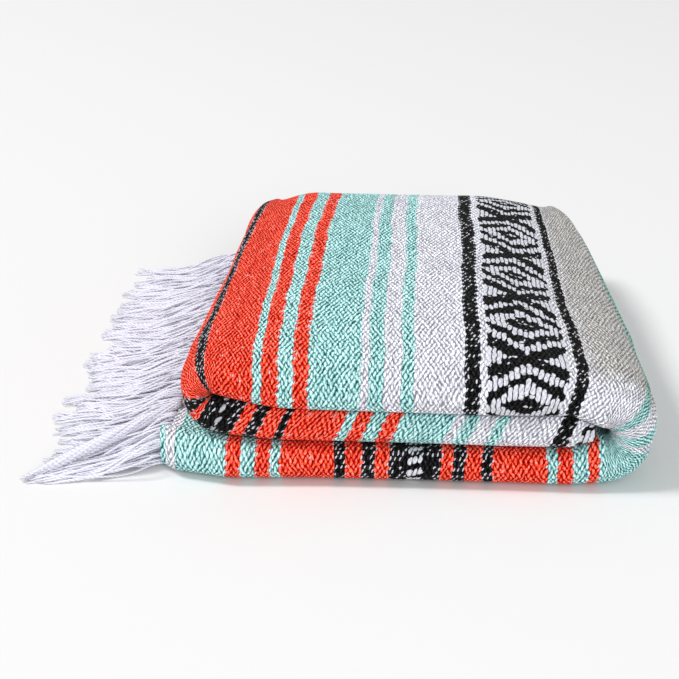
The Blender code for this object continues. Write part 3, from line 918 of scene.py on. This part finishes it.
# %% The weave group
def build_weave():
    tree, given, result = new_group(
        "staggered_weave",
        [("Weave", "NodeSocketVector"), ("Stripes", "NodeSocketVector")],
        [("Color", "NodeSocketColor"), ("Height", "NodeSocketFloat")],
    )

    def split(socket):
        return new_node(tree, "SeparateXYZ", {0: socket}).outputs[:2]

    def add(first, second):
        return calc(tree, "ADD", first, second)

    def minus(first, second):
        return calc(tree, "SUBTRACT", first, second)

    def times(first, second):
        return calc(tree, "MULTIPLY", first, second)

    def magnitude(value):
        return calc(tree, "ABSOLUTE", value)

    def centred(value, size):
        """Spread a value between 0 and 1 evenly about zero."""
        return times(minus(value, 0.5), size)

    def squared(value, size):
        ratio = calc(tree, "DIVIDE", value, size)
        return times(ratio, ratio)

    def noise_of(scale, detail, output="Fac"):
        inputs = {"Vector": given.outputs["Weave"], "Scale": scale, "Detail": detail}
        return new_node(tree, "TexNoise", inputs).outputs[output]

    plain_u, plain_v = split(given.outputs["Weave"])
    pattern, slope = split(given.outputs["Stripes"])
    wobble_u, wobble_v = split(noise_of(WOBBLE_SCALE, 1.0, "Color"))
    u = add(plain_u, centred(wobble_u, WOBBLE))
    v = add(plain_v, centred(wobble_v, 2 * WOBBLE))
    across = calc(tree, "DIVIDE", u, PITCH)
    along = calc(tree, "DIVIDE", v, 2 * ROW)

    def lattice(half_u, half_v):
        """Nearest point of one brick lattice, and how far off it lies each way."""
        near_u = add(calc(tree, "ROUND", minus(across, half_u)), half_u)
        near_v = add(calc(tree, "ROUND", minus(along, half_v)), half_v)
        off_v = times(minus(along, near_v), 2 * ROW)
        off_u = add(times(minus(across, near_u), PITCH), times(off_v, SLANT))
        return near_u, near_v, off_u, off_v

    def distance(off_u, off_v, half_width, half_length):
        return add(squared(off_u, half_width), squared(off_v, half_length))

    def nearest(first, second, half_width, half_length):
        """Whichever of two lattices has the nearer point, by a squared distance."""
        first_far = distance(first[2], first[3], half_width, half_length)
        second_far = distance(second[2], second[3], half_width, half_length)
        use_first = calc(tree, "LESS_THAN", first_far, second_far)
        return [mix(tree, "FLOAT", use_first, b, a) for a, b in zip(first, second)]

    def random_of(first, second, shift):
        """A random value from 0 to 1 for each pair of numbers."""
        pair = new_node(tree, "CombineXYZ", {0: add(first, shift), 1: add(second, shift)})
        inputs = {"Vector": pair.outputs[0]}
        return new_node(tree, "TexWhiteNoise", inputs, noise_dimensions="2D").outputs["Value"]

    def stripe_colour(distance_along):
        ramp = tree.nodes.new("ShaderNodeValToRGB")
        ramp.color_ramp.interpolation = "CONSTANT"
        stops = ramp.color_ramp.elements
        edge = 0.0
        for index, (width, yarn) in enumerate(STRIPES):
            place = edge / 1000 / HALF_REPEAT
            stop = stops[index] if index < 2 else stops.new(place)
            stop.position = place
            stop.color = YARNS[yarn]
            edge += width
        folded = calc(tree, "PINGPONG", distance_along, HALF_REPEAT)
        tree.links.new(calc(tree, "DIVIDE", folded, HALF_REPEAT), ramp.inputs["Fac"])
        return ramp.outputs["Color"]

    def gamma(socket, power):
        return new_node(tree, "Gamma", {"Color": socket, "Gamma": power}).outputs["Color"]

    def grey(socket):
        return new_node(tree, "RGBToBW", {0: socket}).outputs[0]

    # The lens that this point belongs to, its stripe, and its own lean and size.
    near_u, near_v, off_u, off_v = nearest(
        lattice(0.0, 0.0), lattice(0.5, 0.5), CELL_HALF_WIDTH, CELL_HALF_LENGTH)
    centre_pattern = add(pattern, times(minus(times(near_u, PITCH), plain_u), slope))
    yarn = stripe_colour(centre_pattern)
    drift = centred(noise_of(DRIFT_SCALE, 0.0), LEAN_DRIFT)
    lean = add(centred(random_of(near_u, near_v, 7.0), LEAN), drift)
    off_u = add(off_u, times(off_v, lean))
    off_u = add(off_u, centred(random_of(near_u, near_v, 3.0), LENS_SHIFT))
    far = distance(off_u, off_v, LENS_HALF_WIDTH, LENS_HALF_LENGTH)

    # Its tone, as a step up or down from the yarn's: painted shade in the gaps round it and a
    # painted highlight on its back, its own tone, the fibres, and the slow fading of the whole blanket.
    fibre = noise_of(FIBRE_SCALE, 2.0)
    tone_and_shade = times(calc(tree, "MINIMUM", far, GAP_REACH), -GAP_SHADE_DEPTH)
    tone_and_shade = add(tone_and_shade, LENS_HIGHLIGHT)
    tone_and_shade = add(tone_and_shade, centred(random_of(near_u, near_v, 0.25), LENS_TONE))
    tone_and_shade = add(tone_and_shade, centred(fibre, FIBRE_TONE))
    tone_and_shade = add(tone_and_shade, centred(noise_of(FADING_SCALE, 2.0), FADING_TONE))
    # Black yarn keeps only part of the painted highlight, white yarn only part of the painted shade.
    on_black = calc(tree, "LESS_THAN", grey(yarn), BLACK_BELOW)
    up = calc(tree, "MAXIMUM", tone_and_shade, 0.0)
    on_white = calc(tree, "GREATER_THAN", grey(yarn), WHITE_ABOVE)
    up = times(up, minus(1.0, times(on_black, 1 - BLACK_HIGHLIGHT_SHARE)))
    down = calc(tree, "MAXIMUM", times(tone_and_shade, -1.0), 0.0)
    down = times(down, minus(1.0, times(on_white, 1 - WHITE_GAP_SHADE_SHARE)))
    shaded = mix(tree, "RGBA", 1.0, gamma(yarn, 1 / SCREEN_GAMMA), up, "ADD")
    shaded = mix(tree, "RGBA", 1.0, shaded, down, "SUBTRACT")
    shaded = mix(tree, "RGBA", 1.0, shaded, (DARKEST, DARKEST, DARKEST, 1.0), "LIGHTEN")
    shaded = gamma(shaded, SCREEN_GAMMA)

    # How far off the centre of the nearest figure, and of the nearest plain black band.
    turns = calc(tree, "DIVIDE", pattern, HALF_REPEAT)

    def from_centre(first):
        """Distance from the nearest of every other centre, the first at this count."""
        pairs = calc(tree, "ROUND", times(minus(turns, first), 0.5))
        centre = times(add(times(pairs, 2.0), first), HALF_REPEAT)
        return add(minus(pattern, centre), minus(u, plain_u))

    from_figure, from_plain = from_centre(1.0), from_centre(0.0)

    # Specks of the warp between the lenses: many on black, and more along stripe edges.
    speck_u, speck_v, speck_off_u, speck_off_v = nearest(
        lattice(0.5, 0.0), lattice(0.0, 0.5), CELL_HALF_WIDTH, CELL_HALF_WIDTH)
    speck_off_u = add(speck_off_u, times(speck_off_v, SPECK_SLANT))
    speck = distance(speck_off_u, speck_off_v, SPECK_HALF_WIDTH, SPECK_HALF_LENGTH)
    speck = calc(tree, "MULTIPLY", minus(1.0, speck), SPECK_EDGE, clamp=True)
    speck_pattern = add(pattern, times(minus(times(speck_u, PITCH), plain_u), slope))
    left = stripe_colour(minus(speck_pattern, PITCH / 2))
    right = stripe_colour(add(speck_pattern, PITCH / 2))
    change = grey(mix(tree, "RGBA", 1.0, left, right, "DIFFERENCE"))
    at_edge = calc(tree, "GREATER_THAN", change, 0.05)
    in_figure = calc(tree, "LESS_THAN", magnitude(from_figure), FIGURE_HALF)
    share = add(add(times(at_edge, EDGE_SPECKS), times(on_black, BLACK_SPECKS)), OTHER_SPECKS)
    share = times(share, minus(1.0, times(in_figure, FIGURE_SPECKS_LOST)))
    chosen = calc(tree, "LESS_THAN", random_of(speck_u, speck_v, 0.1), share)
    shown = mix(tree, "RGBA", times(times(speck, chosen), SPECK_STRENGTH), shaded, YARNS["white"])

    # Dashes of the figures, each with its own small shift.
    rows = calc(tree, "DIVIDE", v, FIGURE_ROW)

    def dash_shape(off_columns, off_rows, half_width):
        """1 inside a dash with rounded ends, from how far outside its rows a point is."""
        sides = squared(off_columns, half_width)
        beyond = add(times(off_rows, FIGURE_ROW), DASH_END)
        ends = squared(calc(tree, "MAXIMUM", beyond, 0.0), DASH_END)
        return calc(tree, "MULTIPLY", minus(1.0, add(sides, ends)), DASH_EDGE, clamp=True)

    def within(value, half):
        return calc(tree, "LESS_THAN", magnitude(value), half)

    column = calc(tree, "ROUND", calc(tree, "DIVIDE", from_figure, FIGURE_PITCH))
    folded = calc(tree, "PINGPONG", rows, FIGURE_ROWS)
    ring = add(folded, times(magnitude(column), FIGURE_DROP))
    block = calc(tree, "FLOOR", calc(tree, "DIVIDE", rows, 2.0))
    ring = add(ring, centred(random_of(column, block, 0.4), RING_JITTER))
    outside = 9.0
    for middle, half in FIGURE_RINGS:
        away = minus(magnitude(minus(ring, middle)), half)
        outside = calc(tree, "MINIMUM", away, outside)
    off_columns = minus(from_figure, times(column, FIGURE_PITCH))
    figure_dash = times(dash_shape(off_columns, outside, DASH_HALF_WIDTH),
                        within(from_figure, FIGURE_HALF))

    column = calc(tree, "ROUND", calc(tree, "DIVIDE", from_plain, PITCH))
    off_columns = minus(from_plain, times(column, PITCH))
    turn = calc(tree, "DIVIDE", add(rows, times(column, PLAIN_STEP)), PLAIN_DASH_ROWS)
    off_turn = times(minus(turn, calc(tree, "ROUND", turn)), PLAIN_DASH_ROWS)
    off_columns = add(off_columns, times(off_turn, PLAIN_DASH_SLANT))
    outside = minus(magnitude(off_turn), PLAIN_DASH_HALF)
    plain_dash = dash_shape(off_columns, outside, PLAIN_DASH_HALF_WIDTH)
    plain_dash = times(plain_dash, within(from_plain, PLAIN_HALF))
    second = calc(tree, "GREATER_THAN", turns, 1.0)
    beside = calc(tree, "GREATER_THAN", magnitude(column), 0.5)
    loss = add(times(beside, SECOND_PLAIN_STRENGTH), 1 - SECOND_PLAIN_STRENGTH)
    strength = minus(1.0, times(second, loss))
    dash = calc(tree, "MAXIMUM", figure_dash, times(plain_dash, strength))
    # The dashes get the same painted shade in the gaps round each lens.
    in_gap = calc(tree, "MINIMUM", far, GAP_REACH)
    dash_tone_and_shade = minus(add(times(fibre, DASH_FIBRE), DASH_TONE), times(in_gap, DASH_GAP_SHADE))
    dash_colour = mix(tree, "RGBA", 1.0, YARNS["white"], dash_tone_and_shade, "MULTIPLY")
    shown = mix(tree, "RGBA", dash, shown, dash_colour)

    # Painted shade: a warm grey on the side of the stack above the eye of the spiral, which slopes away
    # from the key light.
    def ramp_up(value, start, reach):
        inputs = {"Value": value, "From Min": start, "From Max": start + reach}
        return new_node(tree, "MapRange", inputs, interpolation_type="SMOOTHSTEP").outputs["Result"]

    past_slope_shade = ramp_up(plain_u, SLOPE_SHADE_TO - SLOPE_SHADE_FADE, SLOPE_SHADE_FADE)
    slope_shade = times(ramp_up(plain_u, SLOPE_SHADE_FROM, 0.02), minus(1.0, past_slope_shade))
    slope_shade = times(slope_shade, ramp_up(plain_v, 0.012, 0.030))
    shown = mix(tree, "RGBA", slope_shade, shown, mix(tree, "RGBA", 1.0, shown, SLOPE_SHADE_TINT, "MULTIPLY"))

    height = calc(tree, "SQRT", calc(tree, "MAXIMUM", minus(LENS_ROUND, far), 0.0))
    height = calc(tree, "MAXIMUM", height, times(dash, DASH_HEIGHT))
    height = add(height, times(fibre, FIBRE_HEIGHT))
    tree.links.new(shown, result.inputs["Color"])
    tree.links.new(height, result.inputs["Height"])
    return tree


WEAVE = build_weave()


# %% Cloth material
def build_cloth_material():
    material, tree, shader = new_material("serape_cloth")
    inputs = {label: read_map(tree, label) for label in ("Weave", "Stripes")}
    group = new_node(tree, "Group", {}, node_tree=WEAVE)
    feed(tree, group, inputs)
    feed(tree, shader, {
        "Base Color": group.outputs["Color"],
        "Normal": add_bump(tree, group.outputs["Height"], 0.9, 0.00055),
        "Roughness": 0.88,
        "Specular IOR Level": 0.05,
        "Sheen Weight": 0.04,
        "Sheen Roughness": 0.5,
    })
    return material


CLOTH_MATERIAL = build_cloth_material()
for piece in CLOTH_PIECES.values():
    piece.data.materials.append(CLOTH_MATERIAL)

# %% [markdown]
# ## The hidden plies
# Only the edges of the seven inner plies can be seen, at the back of the stack and at the
# hem: three cut selvedges, and under them a bundle of four plies folded together. One
# closed form runs through the whole spiral inside the outer cloth, and its back is shaped
# into those edges.

# %% Back edges of the plies
CORE_CLEARANCE = 0.0009
EDGE_STEPS = 7
PLY_SHARE = 1 / 7


def rounded_edge(y, middle, half_height, depth_of_groove):
    """A ply's or a bundle's rounded edge, from its inner side to its outer side."""
    angles = np.linspace(-math.pi / 2, math.pi / 2, EDGE_STEPS)
    return [
        (y - depth_of_groove * (1 - math.cos(a)), middle - half_height * math.sin(a)) for a in angles
    ]


def core_line(place):
    """The closed section of the hidden plies at a place, as (y, depth) points."""
    y, depth = outlines(np.array([place]))[:2]
    thickness = float(depth[0, -1])
    line = np.stack([y[0], depth[0]], axis=1)[2:-1:3]
    run = np.gradient(line, axis=0)
    run /= np.linalg.norm(run, axis=1)[:, None]
    line = line + np.stack([run[:, 1], -run[:, 0]], axis=1) * (CLOTH + 1.5 * CORE_CLEARANCE)
    inner_depth = thickness - CLOTH - CORE_CLEARANCE
    line[:, 1] = np.minimum(line[:, 1], inner_depth)
    last_y = line[-1, 0]
    under = [(y, inner_depth) for y in np.linspace(last_y, HALF_DEPTH - 0.012, 8)[1:]]
    outer_depth = float(depth[0, 0]) + CLOTH + CORE_CLEARANCE
    ply = (inner_depth - outer_depth) * PLY_SHARE
    back = []
    for fold in range(2):
        middle = inner_depth - (1 + 2 * fold) * ply
        back += rounded_edge(HALF_DEPTH - 0.0012 - 0.0016 * fold, middle, 0.92 * ply, 0.0050)
    for selvedge in range(3):
        middle = inner_depth - (4.5 + selvedge) * ply
        back += rounded_edge(HALF_DEPTH - 0.0006 * selvedge, middle, 0.42 * ply, 0.0040)
    return np.array(list(map(tuple, line)) + under + back)


# %% Build the hidden plies
def build_core(name, column_stride=2):
    columns = np.arange(4, SEAMS["eye"] - 3, column_stride)
    u = columns * COLUMN_STEP
    sections, around = [], []
    for place in u:
        line = core_line(place)
        outer, inner = ribbon_faces(np.array([place]))
        towards = (inner - outer)[0] / np.linalg.norm((inner - outer)[0])
        flat = outer[0] + towards * line[:, 1:]
        sections.append(settle(flat[:, 0], line[:, 0], flat[:, 1]))
        loop = np.concatenate([line, line[:1]])
        steps = np.linalg.norm(np.diff(loop, axis=0), axis=1)
        around.append(np.concatenate([[0], np.cumsum(steps)]))
    sections, around = np.array(sections), np.array(around)
    count = sections.shape[1]

    mesh_data = bmesh.new()
    flat_grid(mesh_data, range(len(u)), range(count + 1), 0.0)
    maps = [mesh_data.loops.layers.uv.new(label) for label in ("Weave", "Stripes")]
    pattern, slope = pattern_at(u)
    for face in mesh_data.faces:
        for corner in face.loops:
            column, line = round(corner.vert.co.x), round(corner.vert.co.y)
            corner[maps[0]].uv = (u[column], -around[column, line])
            corner[maps[1]].uv = (pattern[column], slope[column])
    for vert in mesh_data.verts:
        column, line = round(vert.co.x), round(vert.co.y)
        vert.co = sections[column, line % count]
    bmesh.ops.remove_doubles(mesh_data, verts=mesh_data.verts, dist=1e-7)
    rims = [edge for edge in mesh_data.edges if edge.is_boundary]
    bmesh.ops.holes_fill(mesh_data, edges=rims, sides=0)
    bmesh.ops.recalc_face_normals(mesh_data, faces=mesh_data.faces)
    mesh = mesh_of(name, mesh_data)
    mesh.shade_smooth()
    mesh.set_sharp_from_angle(angle=math.radians(60))
    mesh.materials.append(CLOTH_MATERIAL)
    print(name, "has", len(mesh.polygons), "faces")
    return add_object(name, mesh)


core = build_core("inner_plies")

# %% [markdown]
# ## The fringe
# Each strand is a bundle of white warp ends twisted together. Hundreds leave the hem
# between the plies, drop to the table, and lie in clumps that taper to a point. They are
# one joined mesh for each layer of the fringe, made from arrays: a centre line for each
# strand, and a small ring of points carried along it.

# %% Where the strands lie
STRAND_RADIUS = 0.00078
STRAND_SIDES = 5
STRAND_STEPS = 26
CLUMP_WIDTH = 0.0125
CLUMP_PULL = 0.85
CLUMP_WAVER = 0.0045
CLUMP_SHIFT = 0.0018
ROOTS_FROM, ROOTS_TO = -0.146, 0.155
ROOT_JITTER = 0.0010
HEM_INSET = 0.004
TIP_JITTER = 0.0032
LOOSE_ENDS = 0.0075
SWAY = 0.0075
WAVES = [
    # size from, to     waves from, to
    (0.0003, 0.0021,     5, 10),
    (0.0001, 0.0005,    14, 24),
]
RISING_WAVE = 0.0011

TIPS_AT_FRONT = -0.240
TIPS_AT_BACK = -0.226
CLUMP_LENGTHS = 0.006
FAN_FROM = -0.03
FAN_FORWARD = 0.022
TIP_DRIFT = 0.004

FRINGE_LAYERS = [
    # name             strands  root_low  root_high  lies_low  lies_high  seed
    ("lower_strands",  390,     0.0020,   0.0110,    0.0010,   0.0045,    3),
    ("upper_strands",  390,     0.0110,   0.0235,    0.0035,   0.0095,    8),
]
BUNDLE = {"strands": 52, "root": (-0.150, -0.105, 0.025), "tip": (-0.245, -0.170, 0.002),
          "rise": 0.0015, "sag": 0.001, "radius": 0.0050, "turns": 1.0}


def fanned(y):
    """Where a strand's tip lies, front to back: the front corner's fan out forwards."""
    return y - TIP_DRIFT - FAN_FORWARD * (np.clip(FAN_FROM - y, 0, 0.12) / 0.12) ** 2


def strand_lines(count, root_low, root_high, lies_low, lies_high, random):
    """Centre lines of a layer's strands, as an array of strand, step and axis."""
    root_y = np.linspace(ROOTS_FROM, ROOTS_TO, count) + random.normal(0, ROOT_JITTER, count)
    clump = np.floor((root_y + CLUMP_WAVER * np.sin(root_y * 61)) / CLUMP_WIDTH)
    clump_y = (clump + 0.5) * CLUMP_WIDTH
    clump_random = np.random.default_rng(21)
    clump_shift = clump_random.normal(0, 1, (80, 3))[(clump + 40).astype(int)]

    tip_y = fanned(root_y) + random.normal(0, TIP_JITTER, count)
    gathered = fanned(clump_y) + CLUMP_SHIFT * clump_shift[:, 0] - tip_y
    share_back = (root_y + HALF_DEPTH) / (2 * HALF_DEPTH)
    tip_x = TIPS_AT_FRONT + (TIPS_AT_BACK - TIPS_AT_FRONT) * share_back
    tip_x += CLUMP_LENGTHS * np.clip(clump_shift[:, 1], -1, 1)
    tip_x += np.abs(random.normal(0, LOOSE_ENDS, count)) + 0.0005
    root_x = HEM_X + HEM_INSET + LEFT_DRAWN_IN * np.clip(share_back, 0, 1) ** 1.3
    root_z = random.uniform(root_low, root_high, count)
    lies_z = random.uniform(lies_low, lies_high, count)

    def each(low, high):
        return random.uniform(low, high, count)[:, None]

    t = np.linspace(0, 1, STRAND_STEPS)[None, :]
    x = root_x[:, None] + (tip_x - root_x)[:, None] * t
    x = x + each(-0.0012, 0.0012) * np.sin(math.pi * t) * t
    sway = each(-SWAY, SWAY) * np.sin(math.pi * t * each(0.8, 1.2))
    for smallest, largest, fewest, most in WAVES:
        sway = sway + each(smallest, largest) * np.sin(each(fewest, most) * t + each(0, 6.28))
    y = root_y[:, None] + (tip_y - root_y)[:, None] * t ** 1.1 + sway * smooth(t * 4)
    y = y + CLUMP_PULL * gathered[:, None] * t ** each(2.0, 4.0)
    y = y + each(-0.003, 0.003) * np.clip(t - 0.86, 0, 1) / 0.14
    fall = smooth((t - 0.03) / each(0.45, 0.70))
    resting = lies_z[:, None] * (1 - 0.75 * t ** 1.5)
    z = root_z[:, None] * (1 - fall) + resting * fall
    z = z + RISING_WAVE * np.sin(each(6, 12) * t + each(0, 6.28)) * smooth(t * 4)
    z = np.maximum(z, STRAND_RADIUS)
    return np.stack([x, y, z], axis=2)


def bundle_lines(count, random):
    """Centre lines of the long bundle of strands twisted round one another at the front."""
    t = np.linspace(0, 1, STRAND_STEPS)[None, :]
    root, tip = np.array(BUNDLE["root"]), np.array(BUNDLE["tip"])
    t_end = t * random.uniform(0.80, 1.0, count)[:, None]
    middle = root + (tip - root) * t_end[..., None]
    middle[..., 1] += BUNDLE["sag"] * np.sin(math.pi * t_end)
    middle[..., 2] -= BUNDLE["rise"] * np.sin(math.pi * t_end)
    angle = random.uniform(0, 2 * math.pi, count)[:, None] + 2 * math.pi * BUNDLE["turns"] * t_end
    reach = BUNDLE["radius"] * np.sqrt(random.uniform(0, 1, count))[:, None]
    reach = reach * (0.25 + 0.75 * np.sin(math.pi * np.clip(0.15 + 0.80 * t_end, 0, 1)))
    middle[..., 1] += reach * np.cos(angle)
    middle[..., 2] += 0.8 * reach * np.sin(angle)
    middle[..., 2] = np.maximum(middle[..., 2], STRAND_RADIUS)
    return middle


# %% Strand meshes
# The twist of the strands, with painted shade in its grooves.
TWIST_PITCH = 0.0062
TWIST_GROOVE_SHADE = 0.26
STRAND_TONE = 0.12
WARP_WHITE = colour(238, 238, 250)


def strand_mesh(name, lines, radius):
    """Tubes round all the lines, joined in one mesh, with closed ends."""
    count, steps = lines.shape[:2]
    forward = np.gradient(lines, axis=1)
    forward /= np.linalg.norm(forward, axis=2, keepdims=True)
    side = np.cross(forward, (0.0, 0.0, 1.0))
    side /= np.linalg.norm(side, axis=2, keepdims=True)
    up = np.cross(side, forward)
    share = np.linspace(0, 1, steps)
    width = radius * (1 - 0.55 * smooth((share - 0.90) / 0.10))
    angle = 2 * math.pi * np.arange(STRAND_SIDES) / STRAND_SIDES
    ring = (side[:, :, None] * np.cos(angle)[:, None] + up[:, :, None] * np.sin(angle)[:, None])
    points = lines[:, :, None] + ring * width[None, :, None, None]

    number = np.arange(count * steps * STRAND_SIDES).reshape(count, steps, STRAND_SIDES)
    beside = np.roll(number, -1, axis=2)
    quads = np.stack([number[:, :-1], number[:, 1:], beside[:, 1:], beside[:, :-1]], axis=-1)
    faces = quads.reshape(-1, 4).tolist()
    faces += number[:, 0].tolist() + number[:, -1, ::-1].tolist()
    mesh = bpy.data.meshes.new(name)
    mesh.from_pydata(points.reshape(-1, 3), [], faces)
    mesh.update()
    mesh.shade_smooth()
    length = np.cumsum(np.linalg.norm(np.diff(lines, axis=1, prepend=lines[:, :1]), axis=2), axis=1)
    along = np.broadcast_to(length[:, :, None], number.shape).ravel()
    strand = np.broadcast_to(np.arange(count)[:, None, None], number.shape).ravel()
    turn = np.broadcast_to(np.arange(STRAND_SIDES) / STRAND_SIDES, number.shape)
    add_map(mesh, "Strand", along, strand * 1.0)
    corner_turn = strand_turns(mesh, turn.ravel())
    layer = mesh.uv_layers.new(name="Twist")
    layer.data.foreach_set("uv", corner_turn.ravel())
    return mesh


def strand_turns(mesh, turn):
    """How far round the strand each corner is, without a jump on the last side."""
    corners = corner_vertices(mesh)
    value = turn[corners]
    starts = np.empty(len(mesh.polygons), np.int32)
    mesh.polygons.foreach_get("loop_start", starts)
    sides = starts[np.diff(np.append(starts, len(corners))) == 4]
    quads = sides[:, None] + np.arange(4)
    quad_value = value[quads]
    last = quad_value.max(axis=1) - quad_value.min(axis=1) > 0.5
    quad_value[last] = np.where(quad_value[last] < 0.5, quad_value[last] + 1, quad_value[last])
    value[quads] = quad_value
    return np.stack([value, value], axis=1).astype(np.float32)


def build_strand_material():
    """Yarn with painted shade in the grooves of its twist, each strand a little lighter or darker."""
    material, tree, shader = new_material("white_warp_yarn")
    along, strand = new_node(tree, "SeparateXYZ", {0: read_map(tree, "Strand")}).outputs[:2]
    twist = new_node(tree, "SeparateXYZ", {0: read_map(tree, "Twist")}).outputs[0]
    phase = calc(tree, "ADD", calc(tree, "MULTIPLY", along, 1 / TWIST_PITCH), twist)
    wave = calc(tree, "ABSOLUTE", calc(tree, "SINE", calc(tree, "MULTIPLY", phase, 2 * math.pi)))
    number = {"W": calc(tree, "ROUND", strand)}
    noise = new_node(tree, "TexWhiteNoise", number, noise_dimensions="1D").outputs["Value"]
    tone_and_shade = calc(tree, "ADD", calc(tree, "MULTIPLY", wave, TWIST_GROOVE_SHADE), 0.84)
    own = calc(tree, "ADD", calc(tree, "MULTIPLY", noise, STRAND_TONE), 0.92)
    shade = calc(tree, "MULTIPLY", tone_and_shade, own)
    feed(tree, shader, {
        "Base Color": mix(tree, "RGBA", 1.0, WARP_WHITE, shade, "MULTIPLY"),
        "Normal": add_bump(tree, wave, 0.9, 0.0004),
        "Roughness": 0.8,
        "Specular IOR Level": 0.2,
        "Sheen Weight": 0.1,
    })
    return material


STRAND_MATERIAL = build_strand_material()
STRANDS = {}
for name, count, root_low, root_high, lies_low, lies_high, seed in FRINGE_LAYERS:
    random = np.random.default_rng(seed)
    lines = strand_lines(count, root_low, root_high, lies_low, lies_high, random)
    if name == "upper_strands":
        lines = np.concatenate([lines, bundle_lines(BUNDLE["strands"], random)])
    mesh = strand_mesh(name, lines, STRAND_RADIUS)
    mesh.materials.append(STRAND_MATERIAL)
    STRANDS[name] = add_object(name, mesh)
    print(name, "has", len(mesh.polygons), "faces")

# %% [markdown]
# ## Fitting the pieces to the frame
# Each piece stands for one or more of the imported solids and rides on the one body that the
# folded blanket is.

for name, solid, first, last, whole_crown, rests_on in CLOTHS:
    piece = CLOTH_PIECES[name]
    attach(piece, "root")
    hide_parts(solid)
    strands = list(STRANDS.values()) if name == "bottom_cloth" else []

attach(core, "root")
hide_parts("inner_layers")
for strands, solid in zip(STRANDS.values(), ("fringe_lower", "fringe_upper")):
    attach(strands, "root")
    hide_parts(solid)
